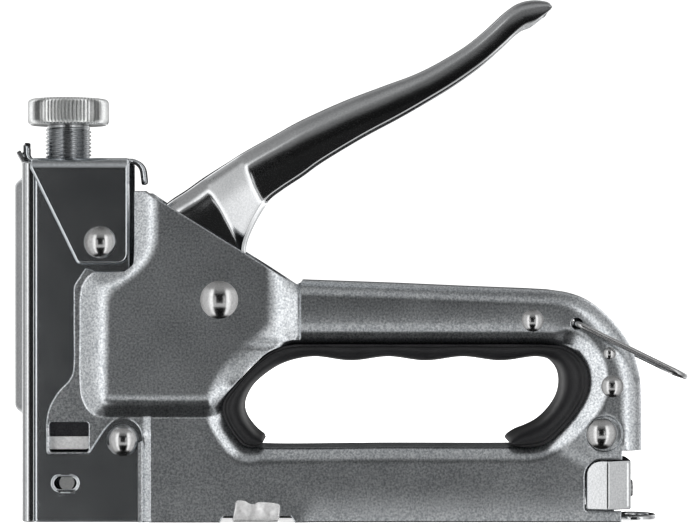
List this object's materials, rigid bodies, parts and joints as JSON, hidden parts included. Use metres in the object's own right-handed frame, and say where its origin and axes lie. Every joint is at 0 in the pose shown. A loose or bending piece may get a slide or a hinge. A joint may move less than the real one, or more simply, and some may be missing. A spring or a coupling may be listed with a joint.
{
  "type": "staple gun",
  "caption": "Hand staple gun with drawn steel shells, squeeze lever, threaded force adjuster, wire lever lock, black grip insert and pull-out magazine.",
  "frame": {"origin": "centre of the footprint on the flat bottom edge that the tool stands on", "axes": "nose and staple exit towards -X, handle and magazine end towards +X, lever and knob towards +Z, middle plane Y = 0"},
  "size_m": [0.1735, 0.0294, 0.1347],
  "materials": {
    "satin_nickel": "satin nickel plate with a fine drawn grain",
    "bright_nickel": "bright nickel plate, near mirror",
    "dark_mirror": "bright plated sheet, mirror smooth",
    "zinc_turned": "zinc plated, turned and knurled",
    "spring_steel": "drawn spring wire",
    "hardened_steel": "hardened and blued steel",
    "black_plastic": "black moulded plastic, satin"
  },
  "bodies": {
    "casing": {"left_shell": "satin_nickel", "right_shell": "satin_nickel", "nose_frame": "dark_mirror", "front_cover": "bright_nickel", "top_bracket": "dark_mirror", "main_spring": "spring_steel", "hammer_stop": "bright_nickel", "lever_pivot_pin": "bright_nickel", "pivot_spacers": "zinc_turned", "lever_return_spring": "spring_steel", "upper_nose_rivet": "bright_nickel", "lower_nose_rivet": "bright_nickel", "handle_rivet": "bright_nickel", "small_rear_rivet": "bright_nickel", "middle_rear_rivet": "bright_nickel", "lower_rear_rivet": "bright_nickel", "nose_pin": "zinc_turned", "grip_insert": "black_plastic", "magazine_track": "bright_nickel"},
    "lever": {"lever": "bright_nickel"},
    "striker": {"hammer": "hardened_steel", "driver_blade": "hardened_steel", "blade_rivets": "bright_nickel"},
    "seat": {"spring_seat": "hardened_steel"},
    "knob": {"adjuster_knob": "zinc_turned"},
    "bail": {"lock_bail": "spring_steel"},
    "magazine": {"pusher_rod": "zinc_turned", "pusher_spring": "spring_steel", "end_cap": "bright_nickel", "pull_tab": "bright_nickel"},
    "pusher": {"staple_pusher": "hardened_steel"}
  },
  "joints": [
    {"name": "lever_hinge", "type": "hinge", "parent": "casing", "child": "lever", "pos_m": [-0.0336, 0, 0.0571], "axis": [0, 1, 0], "range_deg": [0, 36], "stiffness_Nm_per_rad": 1.2, "springref_deg": -20.05, "deforming": ["lever_return_spring"]},
    {"name": "hammer_slide", "type": "slide", "parent": "casing", "child": "striker", "axis": [0, 0, 1], "range_m": [0, 0.02201], "deforming": ["main_spring"]},
    {"name": "adjuster_travel", "type": "slide", "parent": "casing", "child": "seat", "axis": [0, 0, 1], "range_m": [-0.004, 0.003], "deforming": ["main_spring"]},
    {"name": "adjuster_turn", "type": "hinge", "parent": "seat", "child": "knob", "pos_m": [-0.07345, 0, 0.1], "axis": [0, 0, 1], "range_deg": [-1450, 1090]},
    {"name": "bail_hinge", "type": "hinge", "parent": "casing", "child": "bail", "pos_m": [0.0577, 0, 0.051], "axis": [0, 1, 0], "range_deg": [-126, 20]},
    {"name": "magazine_slide", "type": "slide", "parent": "casing", "child": "magazine", "axis": [1, 0, 0], "range_m": [0, 0.095]},
    {"name": "pusher_slide", "type": "slide", "parent": "magazine", "child": "pusher", "axis": [1, 0, 0], "range_m": [0, 0.085], "stiffness_N_per_m": 60, "springref_m": -0.03, "deforming": ["pusher_spring"]}
  ],
  "couplings": [
    {"joint": "hammer_slide", "follows": "lever_hinge", "m_per_rad": 0.035014},
    {"joint": "adjuster_turn", "follows": "adjuster_travel", "rad_per_m": 6283.2}
  ]
}
